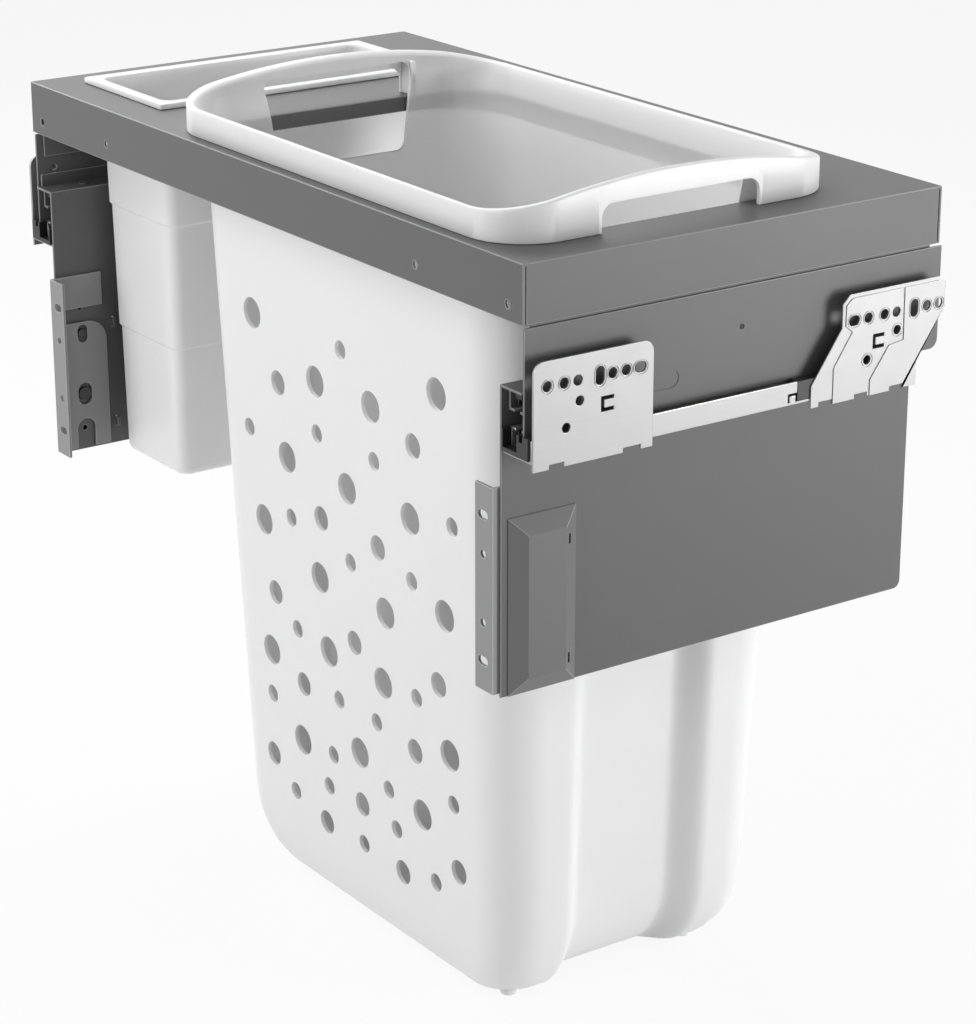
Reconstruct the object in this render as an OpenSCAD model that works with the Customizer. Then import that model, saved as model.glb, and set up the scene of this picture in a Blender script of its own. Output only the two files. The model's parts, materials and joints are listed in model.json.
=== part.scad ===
// Pull-out laundry basket for a base cabinet: a folded steel frame on full-extension roller
// runners carries a large perforated laundry basket and a narrow bin, both lifted out upwards.
// X runs across the cabinet, -Y points out of its open front, +Z is up, in millimetres.
// The origin is midway between the front pair of fixing holes of the right mounting plate, on
// the face that lies against the cabinet's right side.

/* [Cabinet and frame] */
// Clear width between the cabinet's side panels
cabinet_w = 568; // [560:1:600]
// Gap between the frame and each cabinet side
side_gap = 9; // [8.5:0.25:10]
// Depth of the frame, front to rear
frame_d = 292.5; // [292:0.5:320]
// Thickness of the folded steel sheet
sheet_t = 1.5; // [1.2:0.1:1.6]
// Height of the frame's outer skirt
skirt_h = 33.5; // [31:0.5:34]
// Depth of the turned-down edge of each opening
collar_h = 10; // [8:1:12]
// Diameter of the four holes in the front skirt
skirt_hole_d = 4.4; // [4:0.2:5]

/* [Side panels] */
// How far the lower panel and its ledge stand inwards of the upper sheet
ledge_w = 19.5; // [19.5:0.5:21]
// Depth of the ledge's top below the top of the frame
ledge_drop = 70; // [70:0.5:74]
// Depth of the upper sheet's lower edge below the top of the frame
sheet_drop = 96; // [95:0.5:97]
// Depth of the lower panel's lower edge below the top of the frame
panel_drop = 250; // [235:1:265]

/* [Runners] */
// Travel of the pull-out
travel = 280; // [220:5:280]
// Diameter of the bearing rollers
roller_d = 3; // [2.6:0.1:3]
// Rollers in each cage
roller_count = 6; // [4:1:6]
// Thickness of the rail steel
rail_t = 1.5; // [1.2:0.1:1.5]
// Thickness of the mounting plates
plate_t = 1.6; // [1.4:0.1:1.6]
// Diameter of the fixing screw holes
fixing_hole_d = 6; // [5:0.5:6]
// Distance between the two holes of a fixing pair
hole_pitch = 32; // [30:1:34]

/* [Door brackets] */
// Height of a door bracket
bracket_h = 120; // [118:1:122]
// Width of the flange that the door is screwed to
flange_w = 17; // [16:1:20]
// Distance between the two round door holes
door_hole_pitch = 40; // [38:1:42]
// Distance between the two cross slots for the door
door_slot_pitch = 85; // [82:1:88]
// Height adjustment of the door, up and down from the middle
door_adjust = 2; // [1:0.5:2]

/* [Laundry basket] */
// Length of the rim, handle to handle
rim_l = 360; // [356:1:366]
// Width of the rim, front to rear
rim_w = 233.5; // [232:0.5:236]
// Height from the seat of the rim down to the feet
basket_h = 482; // [470:2:490]
// Height of the rim at the middle of each handle
rim_peak = 30.5; // [28:0.5:32]
// Wall thickness of the basket
basket_t = 2.6; // [2.2:0.2:3]
// Draft of each wall, in millimetres per millimetre of depth
draft = 0.037; // [0.03:0.001:0.04]

/* [Small bin] */
// Width of the bin's rim, left to right
bin_w = 101.5; // [98:0.5:106]
// Length of the bin's rim, front to rear
bin_l = 212.5; // [200:0.5:218]
// Depth of the bin below its rim
bin_h = 250; // [236:2:264]
// Thickness of the bin's rim
bin_rim_t = 3.5; // [3:0.5:4]

/* [Hidden] */
$fn = 64;
HULL_FN = 32;

LEFT = -1;
RIGHT = 1;
paint = [0.44, 0.44, 0.45];
bright_steel = [0.82, 0.83, 0.84];
dark_steel = [0.24, 0.24, 0.25];
bracket_grey = [0.62, 0.62, 0.63];
black_plastic = [0.05, 0.05, 0.05];
cage_plastic = [0.85, 0.85, 0.82];
cover_grey = [0.5, 0.5, 0.51];
basket_white = [0.93, 0.93, 0.93];
eps = 0.05;
seat_gap = 0.2;
close_fit = 0.1;

// Fixing row: its drop below the frame's top, and its holes from the front of the frame.
// The rear plate repeats the pattern a whole number of pitches behind the front one, and its
// places are measured from there.
row_drop = 65.5;
first_hole_y = 9.5;
outer_pair_y = 20.5;
main_pair_y = 29.5;
front_slot_y = 44;
front_oval_y = 71;
rear_shift = hole_pitch * floor((frame_d - 68) / hole_pitch);
rear_oval_y = -2;
rear_lone_y = 8.5;
rear_slot_y = 43;
origin_y = main_pair_y + hole_pitch / 2;
front_holes_y = [first_hole_y, outer_pair_y, main_pair_y, outer_pair_y + hole_pitch,
    main_pair_y + hole_pitch];
rear_holes_y = [rear_lone_y, outer_pair_y, main_pair_y, outer_pair_y + hole_pitch,
    main_pair_y + hole_pitch];
low_hole_d = 5.5;

half_w = cabinet_w / 2 - side_gap;
panel_x = half_w - ledge_w;
panel_in_x = panel_x - sheet_t;
plate_x = cabinet_w / 2 - plate_t;
tongue_h = 17;
tongue_inset = 6;
seam = 0.6;
side_hole_x = half_w - 14;
side_hole_drop = 24.5;
middle_hole_x = side_hole_x - 86.5;
middle_hole_drop = 22.5;

// Side sheet: its round corners, its holes and the shallow oval pressed into it
sheet_corner = 6;
sheet_past_frame = 2;
sheet_hole_y = [13.5, frame_d / 2 + 1.75, frame_d - 9.5];
sheet_hole_drop = 58.5;
sheet_hole_d = 3.6;
pressing_y = [68, 99];
pressing_drop = 79.5;
pressing_d = 10.5;
pressing_depth = 0.3;

// Lower panel: its round corner and the upstand of its ledge
panel_corner = 5;
upstand_y = 3;
upstand_h = 8;
cover_hole_d = 3.4;

// Basket: its body's half sizes where it passes the frame, and its place from the right edge
end_overhang = 14;
side_overhang = 5.8;
body_hl = rim_l / 2 - end_overhang;
body_hw = rim_w / 2 - side_overhang;
body_r = 33;
foot_r = 25;
rim_r = 39;
arch_r = 500;
basket_x = half_w - 25 - rim_l / 2;
basket_y = 7.5 + rim_w / 2;
foot_h = 2;
foot_pad_r = 6;
foot_inset = 4;
recess_hw = 49;
recess_depth = 13;
recess_top = -60;
recess_fillet = 19;
opening_gap = 1.8;

// Handles: the grip under the rim, and the window below it, which narrows downwards
handle_hw = 54.6;
handle_r = 8;
grip_z = 16.5;
window_top = 22;
window_low_hw = 47;
window_z = -33.5;

// Wall holes, each as distance from the middle and depth, in three sizes
large_hole_d = 19.5;
medium_hole_d = 15.5;
small_hole_d = 11.5;
large_holes = [[0, 186], [0, 358], [30, 127], [30, 301], [36, 254], [67, 185], [67, 374],
    [99, 101], [99, 235], [99, 323]];
medium_holes = [[0, 285], [0, 393], [31, 214], [43, 422], [62, 334], [73, 139], [90, 281],
    [104, 397]];
small_holes = [[0, 100], [0, 233], [0, 420], [21, 330], [31, 160], [31, 371], [38, 395],
    [66, 224], [66, 298], [79, 414], [101, 354], [110, 177]];

// Bin: its body's half sizes under the rim, and its place from the left edge
bin_lip = 6.8;
bin_hw = bin_w / 2 - bin_lip;
bin_hl = bin_l / 2 - bin_lip;
bin_x = -half_w + 23.5 + bin_w / 2;
bin_y = 26.5 + bin_l / 2;
bin_t = 1.8;
bin_step = 1.2;
bin_steps_at = [78, 161];
bin_draft = 0.015;
bin_r = 8;
bin_rim_r = 2;

// Rails: heights below the top of the frame, and distances outwards from the lower panel
roller_gap = roller_d + 0.6;
rail_top = ledge_drop + sheet_t;
upper_race = rail_top + rail_t;
middle_top = upper_race + roller_gap;
lip_gap = 1;
middle_lip = 5;
middle_bottom = ledge_drop + 30.9;
lower_race = middle_bottom + roller_gap;
rail_bottom = lower_race + rail_t;
angle_bottom = rail_bottom + rail_t;
drawer_foot = middle_top + middle_lip + lip_gap + rail_t;
channel_top = middle_bottom - middle_lip - lip_gap - rail_t;
flange_top = channel_top + 1;
rail_mid = 9;
rail_hw = 7.75;
middle_hw = 5.5;
lip_open = 2.5;
rail_out = plate_x - panel_x;
rail_y = [5, frame_d - 26.5];
angle_y = [0.5, rail_y[1]];
stop_t = 4.5;
cap_gap = 0.8;
cap_guide_y = 14;
flange_end_y = rear_shift - 41;
slit_w = 1.3;
slit_l = 6.5;
slit_h = 5;
slit_drop = 6.6;
middle_y = [8, rail_y[1] - 0.5];
drawer_y = [4, frame_d - 4];
cage_l = 114;
cage_t = 2.2;
cage_hw = 5.2;
roller_hl = 4.4;
roller_play = 0.25;
lower_cage_y = 16 + travel / 4;
upper_cage_y = travel * 3 / 4 - 120;
rivet_y = [30, frame_d / 2, frame_d - 30];
rivet_d = 4;
rivet_head_d = 7;
rivet_head_t = 0.8;
bumper_u = [rail_mid - 2, rail_mid + 3.5];
bumper_y = [drawer_y[0] + 0.5, drawer_y[0] + 6];

// Plates: the front one's edges, both lower edges, the lower holes and the slit tongues as depth
// and drop, and the notches that the tabs were folded from
front_plate_y = [0.5, 80];
front_plate_top = -51.5;
front_plate_corner = 7;
plate_bottom = -angle_bottom - 4.3;
front_low_holes = [[30.8, 77], [22, 90.5]];
rear_low_holes = [[30.5, 76.2], [8.5, 90.2]];
front_tongue = [45, 79.5];
rear_tongue = [12.5, 78];
slot_half = 2.2;
oval_half = 1;
slit_size = 8.5;
field_h = 0.6;
front_notches = [[11, 21], [60, 72]];
rear_notches = [[-26, -16], [0, 10], [26.5, 36.5]];
cut_w = 2;

// Door bracket: measured from the front of the frame and the top of the frame
bracket_top = panel_drop - bracket_h - 2;
bracket_t = 2;
bracket_gap = 0.3;
flange_y = -4;
web_y = 35.5;
head_y = 33;
head_h = 22.5;
neck_y = 2.5;
setting_room = door_adjust + 0.6;
arch_w = 13.4;
door_hole_d = 4.8;
door_slot_d = 5;
door_slot_half = 2;
bracket_in_x = panel_in_x - bracket_gap;
bracket_mid = bracket_top + bracket_h / 2;
adjuster_y = 17.5;
upper_pin_z = bracket_top + 40.5;
lower_pin_z = bracket_top + 82.5;
arch_z = bracket_top + 100;
panel_hole_z = [bracket_top + 23, bracket_top + 107];
upper_pin_d = 6.4;
lower_pin_d = 9;
pin_shank_d = 6;
pin_head_t = 2;
upper_head_d = 11;
lower_head_d = 13;
driver_slot_w = 1.2;

// Cover over the bracket's adjusters
cover_y = [4.5, 50];
cover_z = [bracket_top + 18.5, panel_drop];
cover_h = 6;
cover_t = 1.4;
bevel = 10;
clip_y = 42;
clip_t = 1;
clip_hh = 3;
clip_hook = 2;
clip_z = [cover_z[0] + 18, cover_z[1] - 15.5];

// Places a part drawn from the frame's front and top into the cabinet's frame
module placed() {
    translate([-cabinet_w / 2, -origin_y, row_drop]) children();
}

module on_side(side) {
    if (side == RIGHT) children();
    else mirror([1, 0, 0]) children();
}

// Block between two corners
module block(a, b) {
    translate(a) cube(b - a);
}

module rounded_outline(hx, hy, r) {
    union() {
        square([2 * hx - 2 * r, 2 * hy], center = true);
        square([2 * hx, 2 * hy - 2 * r], center = true);
        for (sx = [-1, 1], sy = [-1, 1]) translate([sx * (hx - r), sy * (hy - r)]) circle(r);
    }
}

// Upright ring or block with rounded corners, from z0 to z1
module rounded_block(hx, hy, r, z0, z1) {
    translate([0, 0, z0]) linear_extrude(z1 - z0) rounded_outline(hx, hy, r);
}

// Slot along Y in a plate that faces X, between two end centres
module slot_x(x0, x1, y0, y1, z, d) {
    for (y = [y0, y1]) translate([x0, y, z]) rotate([0, 90, 0]) cylinder(d = d, h = x1 - x0);
    block([x0, y0, z - d / 2], [x1, y1, z + d / 2]);
}

// Upright slot in a plate that faces X
module slot_z(x0, x1, y, z0, z1, d) {
    for (z = [z0, z1]) translate([x0, y, z]) rotate([0, 90, 0]) cylinder(d = d, h = x1 - x0);
    block([x0, y - d / 2, z0], [x1, y + d / 2, z1]);
}

module hole_x(x0, x1, y, z, d) {
    translate([x0, y, z]) rotate([0, 90, 0]) cylinder(d = d, h = x1 - x0);
}

module hole_y(x, y0, y1, z, d) {
    translate([x, y1, z]) rotate([90, 0, 0]) cylinder(d = d, h = y1 - y0);
}

// Frame

module opening_collar(hx, hy, r) {
    difference() {
        rounded_block(hx + sheet_t, hy + sheet_t, r + sheet_t, -collar_h, -sheet_t);
        rounded_block(hx, hy, r, -collar_h - 1, 0);
    }
}

module at_basket() {
    translate([basket_x, basket_y, 0]) children();
}

module at_bin() {
    translate([bin_x, bin_y, 0]) children();
}

module side_skirt() {
    block([half_w - sheet_t, sheet_t + seam, -skirt_h], [half_w, frame_d - sheet_t - seam, -eps]);
    block([half_w - 2 * sheet_t, tongue_inset, -skirt_h - tongue_h],
        [half_w - sheet_t, frame_d - tongue_inset, -skirt_h + sheet_t]);
}

module top_frame() {
    basket_hx = body_hl + opening_gap;
    basket_hy = body_hw + opening_gap;
    bin_hx = bin_hw + opening_gap;
    bin_hy = bin_hl + opening_gap;
    color(paint) placed() difference() {
        union() {
            block([-half_w, 0, -sheet_t], [half_w, frame_d, 0]);
            block([-half_w, 0, -skirt_h], [half_w, sheet_t, -eps]);
            block([-half_w, frame_d - sheet_t, -skirt_h], [half_w, frame_d, -eps]);
            for (side = [LEFT, RIGHT]) on_side(side) side_skirt();
            at_basket() opening_collar(basket_hx, basket_hy, body_r + opening_gap);
            at_bin() opening_collar(bin_hx, bin_hy, bin_r);
        }
        at_basket() rounded_block(basket_hx, basket_hy, body_r + opening_gap, -sheet_t - 1, 1);
        at_bin() rounded_block(bin_hx, bin_hy, bin_r, -sheet_t - 1, 1);
        for (s = [-1, 1]) {
            hole_y(s * side_hole_x, -1, sheet_t + 1, -side_hole_drop, skirt_hole_d);
            hole_y(s * middle_hole_x, -1, sheet_t + 1, -middle_hole_drop, skirt_hole_d);
        }
    }
}

// Side panels

module side_sheet(side) {
    corner = sheet_corner;
    rear = frame_d + sheet_past_frame;
    top = -skirt_h - sheet_t;
    color(paint) placed() on_side(side) difference() {
        union() {
            block([half_w - sheet_t, 1, -sheet_drop], [half_w, rear - corner, top]);
            block([half_w - sheet_t, rear - corner - 1, -sheet_drop + corner], [half_w, rear, top]);
            hole_x(half_w - sheet_t, half_w, rear - corner, -sheet_drop + corner, 2 * corner);
        }
        for (y = sheet_hole_y)
            hole_x(half_w - sheet_t - 1, half_w + 1, y, -sheet_hole_drop, sheet_hole_d);
        slot_x(half_w - pressing_depth, half_w + 1, pressing_y[0], pressing_y[1], -pressing_drop,
            pressing_d);
    }
}

module lower_panel(side) {
    corner = panel_corner;
    color(paint) placed() on_side(side) difference() {
        union() {
            block([half_w - 2 * sheet_t, upstand_y, -ledge_drop],
                [half_w - sheet_t, frame_d, -ledge_drop + upstand_h]);
            block([panel_in_x, 0, -rail_top], [half_w - sheet_t, frame_d, -ledge_drop]);
            block([panel_in_x, 0, -panel_drop], [panel_x, frame_d - corner, -ledge_drop]);
            block([panel_in_x, frame_d - corner - 1, -panel_drop + corner],
                [panel_x, frame_d, -ledge_drop]);
            hole_x(panel_in_x, panel_x, frame_d - corner, -panel_drop + corner, 2 * corner);
        }
        for (y = rivet_y) translate([panel_x + rail_mid, y, -rail_top - 1])
            cylinder(d = rivet_d + close_fit, h = sheet_t + 2);
        for (z = [upper_pin_z, lower_pin_z])
            hole_x(panel_in_x - 1, panel_x + 1, adjuster_y, -z, pin_shank_d + close_fit);
        for (z = panel_hole_z) hole_x(panel_in_x - 1, panel_x + 1, adjuster_y, -z, cover_hole_d);
        for (z = clip_z) block([panel_in_x - 1, clip_y - clip_t - 0.2, -z - clip_hh - 0.4],
            [panel_x + 1, clip_y + 0.4, -z + clip_hh + 0.4]);
    }
}

// Runners

// Turns a section drawn from the lower panel's outside into a rail between two places in depth
module rail_block(u0, u1, y, z0, z1) {
    block([panel_x + u0, y[0], -z1], [panel_x + u1, y[1], -z0]);
}

module drawer_rail(side) {
    inner = rail_hw - rail_t;
    color(paint) placed() on_side(side) difference() {
        union() {
            rail_block(rail_mid - rail_hw, rail_mid + rail_hw, drawer_y, rail_top, upper_race);
            for (s = [-1, 1]) {
                flange = rail_mid + s * (rail_hw - rail_t / 2);
                lip = rail_mid + s * (inner + lip_open) / 2;
                reach = (inner - lip_open) / 2 + eps;
                rail_block(flange - rail_t / 2, flange + rail_t / 2, drawer_y, rail_top, drawer_foot);
                rail_block(lip - reach, lip + reach, drawer_y, drawer_foot - rail_t, drawer_foot);
            }
        }
        for (y = rivet_y) translate([panel_x + rail_mid, y, -upper_race - 1])
            cylinder(d = rivet_d + close_fit, h = rail_t + 2);
    }
}

module rail_rivets() {
    color(paint) placed() for (side = [LEFT, RIGHT], y = rivet_y)
        on_side(side) translate([panel_x + rail_mid, y, -upper_race]) {
            cylinder(d = rivet_d, h = rail_t + sheet_t + rivet_head_t / 2);
            translate([0, 0, rail_t + sheet_t]) cylinder(d = rivet_head_d, h = rivet_head_t);
        }
}

// Small stops in the mouth of each drawer rail
module rail_bumpers() {
    color(black_plastic) placed() for (side = [LEFT, RIGHT])
        on_side(side) rail_block(bumper_u[0], bumper_u[1], bumper_y, upper_race, middle_top - 0.4);
}

module middle_rail(side) {
    web = rail_t / 2;
    color(dark_steel) placed() on_side(side) union() {
        rail_block(rail_mid - middle_hw, rail_mid + middle_hw, middle_y, middle_top,
            middle_top + rail_t);
        rail_block(rail_mid - middle_hw, rail_mid + middle_hw, middle_y, middle_bottom - rail_t,
            middle_bottom);
        rail_block(rail_mid - web, rail_mid + web, middle_y, middle_top, middle_bottom);
        for (s = [-1, 1]) {
            lip = rail_mid + s * (middle_hw - rail_t / 2);
            rail_block(lip - rail_t / 2, lip + rail_t / 2, middle_y, middle_top,
                middle_top + middle_lip);
            rail_block(lip - rail_t / 2, lip + rail_t / 2, middle_y,
                middle_bottom - middle_lip, middle_bottom);
        }
    }
}

module cabinet_rail(side) {
    inner = rail_hw - rail_t;
    color(bright_steel) placed() on_side(side) union() {
        rail_block(rail_mid - rail_hw, rail_mid + rail_hw, rail_y, lower_race, rail_bottom);
        for (s = [-1, 1]) {
            flange = rail_mid + s * (rail_hw - rail_t / 2);
            lip = rail_mid + s * (inner + lip_open) / 2;
            reach = (inner - lip_open) / 2 + eps;
            rail_block(flange - rail_t / 2, flange + rail_t / 2, rail_y, channel_top, rail_bottom);
            rail_block(lip - reach, lip + reach, rail_y, channel_top, channel_top + rail_t);
        }
    }
}

// Angle under the cabinet rail; its upright leg stands outside the moving side sheet
module support_angle(side) {
    leg_x = panel_x + rail_out - rail_t;
    slit_y = [flange_end_y - slit_l, flange_end_y - 1];
    slit_top = -flange_top - slit_drop;
    color(bright_steel) placed() on_side(side) difference() {
        union() {
            rail_block(rail_mid - rail_hw, rail_out, angle_y, rail_bottom, angle_bottom);
            rail_block(rail_out - rail_t, rail_out, [angle_y[0], flange_end_y], flange_top,
                angle_bottom);
        }
        for (y = slit_y) block([leg_x - 1, y, slit_top - slit_h], [plate_x + 1, y + slit_w, slit_top]);
        block([leg_x - 1, slit_y[0], slit_top - slit_w], [plate_x + 1, slit_y[1] + slit_w, slit_top]);
    }
}

// Tabs folded in from the notches of a plate, under the angle
module plate_tabs(ys) {
    for (y = ys) block([panel_x + rail_mid, y[0], -angle_bottom - plate_t],
        [plate_x + eps, y[1], -angle_bottom]);
}

// Square slit round a small tongue, open towards the rear
module c_slit(y, z) {
    outer = plate_x + plate_t + 1;
    low = z - slit_size + cut_w;
    for (arm = [z, low]) block([plate_x - 1, y, arm], [outer, y + slit_size, arm + cut_w]);
    block([plate_x - 1, y, low], [outer, y + cut_w, z + cut_w]);
}

module screw_holes(ys, slot_y, oval_y) {
    outer = plate_x + plate_t;
    for (y = ys) hole_x(plate_x - 1, outer + 1, y, -row_drop, fixing_hole_d);
    slot_z(plate_x - 1, outer + 1, slot_y, -row_drop - slot_half, -row_drop + slot_half,
        fixing_hole_d);
    slot_x(plate_x - 1, outer + 1, oval_y - oval_half, oval_y + oval_half, -row_drop,
        fixing_hole_d);
}

// Notches in a plate's lower edge, where its tabs were folded out
module notches(ys) {
    for (y = ys) block([plate_x - 1, y[0], plate_bottom - 1],
        [plate_x + plate_t + 1, y[1], -angle_bottom - plate_t]);
}

module front_plate(side) {
    outer = plate_x + plate_t;
    corner = front_plate_corner;
    corner_y = [front_plate_y[0] + corner, front_plate_y[1] - corner];
    below = front_plate_top - corner;
    color(bright_steel) placed() on_side(side) union() {
        difference() {
            union() {
                block([plate_x, corner_y[0], below - 1], [outer, corner_y[1], front_plate_top]);
                block([plate_x, front_plate_y[0], plate_bottom], [outer, front_plate_y[1], below]);
                for (y = corner_y) hole_x(plate_x, outer, y, below, 2 * corner);
            }
            screw_holes(front_holes_y, front_slot_y, front_oval_y);
            for (place = front_low_holes)
                hole_x(plate_x - 1, outer + 1, place[0], -place[1], low_hole_d);
            c_slit(front_tongue[0], -front_tongue[1]);
            notches(front_notches);
        }
        plate_tabs(front_notches);
    }
}

// Outline of the rear plate in depth and height, and the raised fields pressed into it
module rear_outline() {
    polygon([[-10.3, -69], [-10.3, -55], [-5, -50], [62.5, -50], [67, -54], [67, -69],
        [47, -95], [47, plate_bottom], [-31.7, plate_bottom], [-31.7, -99]]);
}

module front_field() {
    polygon([[-3, -72], [-8, -68], [-8, -56], [-3.5, -52.2], [33.8, -52.2], [34.2, -82],
        [24, -83], [10, -102.5], [10, plate_bottom], [-16, plate_bottom], [-16, -91]]);
}

module rear_field() {
    polygon([[35.4, -52.2], [61.7, -52.2], [65, -55], [66, -68.5], [36.6, -109],
        [36.6, plate_bottom], [11.5, plate_bottom], [11.5, -102.5], [25, -84.3], [35.8, -83]]);
}

module facing_x(x, t) {
    translate([x, 0, 0]) rotate([90, 0, 90]) linear_extrude(t) children();
}

module rear_plate(side) {
    outer = plate_x + plate_t;
    base_t = plate_t - field_h;
    color(bright_steel) placed() on_side(side) translate([0, rear_shift, 0]) union() {
        difference() {
            union() {
                facing_x(plate_x, base_t) rear_outline();
                facing_x(plate_x, plate_t) front_field();
                facing_x(plate_x, plate_t) rear_field();
            }
            screw_holes(rear_holes_y, rear_slot_y, rear_oval_y);
            for (place = rear_low_holes)
                hole_x(plate_x - 1, outer + 1, place[0], -place[1], low_hole_d);
            c_slit(rear_tongue[0], -rear_tongue[1]);
            notches(rear_notches);
        }
        plate_tabs(rear_notches);
    }
}

// Plastic end piece on the front of the cabinet rail, open for the middle rail, with a groove
// for the side sheet that slides over it
module rail_cap(side) {
    mouth = middle_hw + cap_gap;
    y = [-1, rail_y[0]];
    past_y = [y[0] - 1, y[1] + 1];
    groove_u = [rail_mid + rail_hw + 0.6, ledge_w + cap_gap];
    leg_u = rail_out - rail_t;
    top = flange_top - 1;
    color(black_plastic) placed() on_side(side) difference() {
        union() {
            rail_block(rail_mid - rail_hw, leg_u, y, top, rail_bottom);
            rail_block(groove_u[1], leg_u, [y[0], cap_guide_y], top, rail_bottom);
        }
        rail_block(rail_mid - mouth, rail_mid + mouth, past_y, top - 1, lower_race - 1);
        rail_block(groove_u[0], groove_u[1], past_y, top - 1, sheet_drop + 1);
    }
}

// Plastic guide along the rear of the support angle, with the stop behind the rails
module rail_buffer(side) {
    guide_u = ledge_w + cap_gap;
    color(black_plastic) placed() on_side(side) union() {
        rail_block(guide_u, rail_out, [flange_end_y, rail_y[1]], flange_top, rail_bottom);
        rail_block(rail_mid - rail_hw, rail_out, [rail_y[1], rail_y[1] + stop_t], sheet_drop + 1,
            angle_bottom);
        rail_block(guide_u, rail_out, [rail_y[1], rail_y[1] + stop_t], flange_top, angle_bottom);
    }
}

// Bearing rollers lie across the rail at an even pitch
module roller_row(y, race) {
    pitch = cage_l / roller_count;
    for (i = [0 : roller_count - 1])
        translate([panel_x + rail_mid - roller_hl, y + pitch * (i + 0.5), -race - roller_gap / 2])
            rotate([0, 90, 0]) cylinder(d = roller_d, h = 2 * roller_hl);
}

module cage(side, y, race) {
    pitch = cage_l / roller_count;
    mid = race + roller_gap / 2;
    pocket = roller_d / 2 + roller_play;
    pocket_hw = roller_hl + roller_play;
    color(cage_plastic) placed() on_side(side) difference() {
        rail_block(rail_mid - cage_hw, rail_mid + cage_hw, [y, y + cage_l], mid - cage_t / 2,
            mid + cage_t / 2);
        for (i = [0 : roller_count - 1])
            rail_block(rail_mid - pocket_hw, rail_mid + pocket_hw,
                [y + pitch * (i + 0.5) - pocket, y + pitch * (i + 0.5) + pocket], race, race + roller_gap);
    }
}

module rollers(side, y, race) {
    color(bright_steel) placed() on_side(side) roller_row(y, race);
}

// Door fixing

// Upright web: full width at its head, set back below it and rounded where it widens again
module bracket_web() {
    r = 14;
    x0 = bracket_in_x - bracket_t;
    x1 = bracket_in_x;
    bottom = -bracket_top - bracket_h;
    lower = -bracket_top - head_h - 10;
    block([x0, flange_y, bottom], [x1, neck_y, -bracket_top]);
    block([x0, neck_y - 0.5, -bracket_top - head_h], [x1, head_y, -bracket_top]);
    block([x0, neck_y - 0.5, bottom], [x1, web_y - r, lower]);
    block([x0, web_y - r - 1, bottom], [x1, web_y, lower - r]);
    hole_x(x0, x1, web_y - r, lower - r, 2 * r);
}

module door_bracket(side) {
    x0 = bracket_in_x - bracket_t - 1;
    x1 = bracket_in_x + 1;
    free_x = bracket_in_x - flange_w;
    slot_x0 = free_x + (flange_w - bracket_t) / 2;
    bottom = -bracket_top - bracket_h;
    face_y = [flange_y - 1, flange_y + bracket_t + 1];
    color(bracket_grey) placed() on_side(side) difference() {
        union() {
            bracket_web();
            block([free_x, flange_y, bottom], [bracket_in_x, flange_y + bracket_t, -bracket_top]);
        }
        slot_z(x0, x1, adjuster_y, -upper_pin_z - setting_room, -upper_pin_z + setting_room,
            upper_pin_d + 0.8);
        slot_z(x0, x1, adjuster_y, -lower_pin_z - setting_room, -lower_pin_z + setting_room,
            lower_pin_d + 1);
        slot_z(x0, x1, adjuster_y, bottom - arch_w, -arch_z - arch_w / 2, arch_w);
        for (end = [-1, 1]) {
            slot_drop = bracket_mid - end * door_slot_pitch / 2;
            hole_y(slot_x0, face_y[0], face_y[1], -bracket_mid + end * door_hole_pitch / 2, door_hole_d);
            for (x = [-door_slot_half, door_slot_half])
                hole_y(slot_x0 + x, face_y[0], face_y[1], -slot_drop, door_slot_d);
            block([slot_x0 - door_slot_half, face_y[0], -slot_drop - door_slot_d / 2],
                [slot_x0 + door_slot_half, face_y[1], -slot_drop + door_slot_d / 2]);
        }
    }
}

module adjuster_screw(z, pin_d, head_d) {
    hole_x(bracket_in_x - bracket_t, panel_in_x, adjuster_y, -z, pin_d);
    hole_x(panel_in_x - eps, panel_x + eps, adjuster_y, -z, pin_shank_d);
    difference() {
        hole_x(panel_x, panel_x + pin_head_t, adjuster_y, -z, head_d);
        block([panel_x + pin_head_t - 1, adjuster_y - driver_slot_w / 2, -z - head_d],
            [panel_x + pin_head_t + 1, adjuster_y + driver_slot_w / 2, -z + head_d]);
    }
}

module adjuster_screws() {
    color(dark_steel) placed() for (side = [LEFT, RIGHT]) on_side(side) {
        adjuster_screw(upper_pin_z, upper_pin_d, upper_head_d);
        adjuster_screw(lower_pin_z, lower_pin_d, lower_head_d);
    }
}

// Bevelled shell: a wide foot on the panel, drawn in to a flat face
module bevelled(inset, height) {
    y0 = cover_y[0] + inset;
    y1 = cover_y[1] - inset;
    z0 = -cover_z[1] + inset;
    z1 = -cover_z[0] - inset;
    hull() {
        block([panel_x, y0, z0], [panel_x + 0.6, y1, z1]);
        block([panel_x + height - 0.2, y0 + bevel, z0 + bevel],
            [panel_x + height, y1 - bevel, z1 - bevel]);
    }
}

// Tongue from the cover through the panel, with a hook behind it
module cover_clip(z) {
    tip_x = panel_in_x - bracket_gap - clip_hook;
    block([tip_x, clip_y - clip_t, -z - clip_hh], [panel_x + cover_h - 1, clip_y, -z + clip_hh]);
    block([tip_x, clip_y - clip_t, -z - clip_hh], [panel_in_x, clip_y + 1.4, -z + clip_hh]);
}

module bracket_cover(side) {
    color(cover_grey) placed() on_side(side) {
        difference() {
            bevelled(0, cover_h);
            translate([-eps, 0, 0]) bevelled(cover_t, cover_h - cover_t);
            for (z = clip_z) block([panel_x + 1, clip_y + 0.4, -z - clip_hh],
                [panel_x + cover_h + 3, clip_y + 2.2, -z + clip_hh]);
        }
        for (z = clip_z) cover_clip(z);
    }
}

// Laundry basket, drawn about the middle of its rim

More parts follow.
